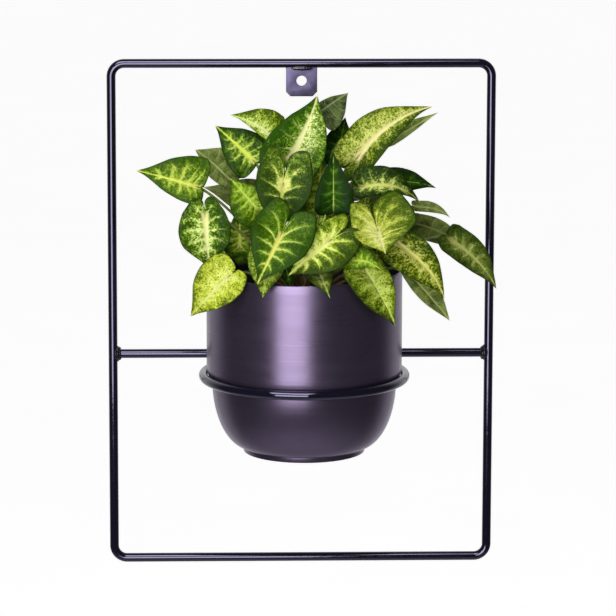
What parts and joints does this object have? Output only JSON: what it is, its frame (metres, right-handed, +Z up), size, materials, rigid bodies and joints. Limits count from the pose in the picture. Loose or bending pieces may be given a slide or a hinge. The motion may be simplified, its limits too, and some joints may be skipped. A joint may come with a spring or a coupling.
{
  "type": "wall planter",
  "caption": "Wall-hung planter: a rectangular rod frame whose crossbar carries a welded ring, with a round metal pot hung in the ring and an arrowhead vine in its nursery pot.",
  "frame": {"origin": "centre of the hanging hole in the tab under the top rail, in the middle plane of the frame's rod", "axes": "+X to the right as seen from the room, +Y into the wall, +Z up; the pot stands out along -Y"},
  "size_m": [0.3, 0.177, 0.398],
  "materials": {
    "black_paint": "gloss",
    "tab_paint": "satin",
    "pot_paint": "satin",
    "liner": "matte",
    "soil": "matte",
    "stalk": "satin",
    "leaf_dark": "satin",
    "leaf_mid": "satin",
    "leaf_lime": "satin",
    "leaf_cream": "satin",
    "leaf_plain": "satin",
    "leaf_back": "satin"
  },
  "bodies": {
    "frame": {"frame_loop": "black_paint", "crossbar": "black_paint", "crossbar_weld_left": "black_paint", "crossbar_weld_right": "black_paint", "pot_ring": "black_paint", "ring_weld_upper": "black_paint", "ring_weld_lower": "black_paint", "hanger_tab": "tab_paint", "tab_weld_front": "black_paint", "tab_weld_back": "black_paint"},
    "pot": {"outer_pot": "pot_paint"},
    "plant": {"nursery_pot": "liner", "potting_soil": "soil", "stems": "stalk", "leaf_left_outer": "leaf_mid", "leaf_left_back": "leaf_back", "leaf_left_upper": "leaf_dark", "leaf_upper_small": "leaf_lime", "leaf_top_centre": "leaf_mid", "leaf_top_folded": "leaf_back", "leaf_right_upper": "leaf_cream", "leaf_right_upper_back": "leaf_back", "leaf_right_dark": "leaf_dark", "leaf_right_behind": "leaf_dark", "leaf_right_small": "leaf_back", "leaf_right_middle": "leaf_plain", "leaf_right_drooping": "leaf_dark", "leaf_front_cream": "leaf_cream", "leaf_right_lower": "leaf_mid", "leaf_right_underside": "leaf_back", "leaf_right_hanging": "leaf_lime", "leaf_right_arched": "leaf_lime", "leaf_centre_upright": "leaf_plain", "leaf_centre_star": "leaf_dark", "leaf_front_dark": "leaf_dark", "leaf_left_lime": "leaf_lime", "leaf_left_patterned": "leaf_mid", "leaf_left_low": "leaf_cream", "leaf_front_edge": "leaf_mid", "leaf_front_low": "leaf_mid", "leaf_front_small": "leaf_mid", "leaf_low_centre": "leaf_plain", "leaf_low_right": "leaf_plain", "leaf_top_back": "leaf_plain", "leaf_inner_top": "leaf_plain", "leaf_inner_right": "leaf_plain", "leaf_inner_left": "leaf_plain", "leaf_inner_low_left": "leaf_plain", "leaf_back_left": "leaf_mid", "leaf_back_upper": "leaf_dark", "leaf_back_right": "leaf_lime", "leaf_back_low_left": "leaf_mid", "leaf_back_low_right": "leaf_dark", "leaf_back_centre": "leaf_mid"}
  },
  "joints": [
    {"name": "pot_lift", "type": "slide", "parent": "frame", "child": "pot", "axis": [0, 0, 1], "range_m": [0, 0.07]},
    {"name": "plant_lift", "type": "slide", "parent": "pot", "child": "plant", "axis": [0, 0, 1], "range_m": [0, 0.14]}
  ]
}
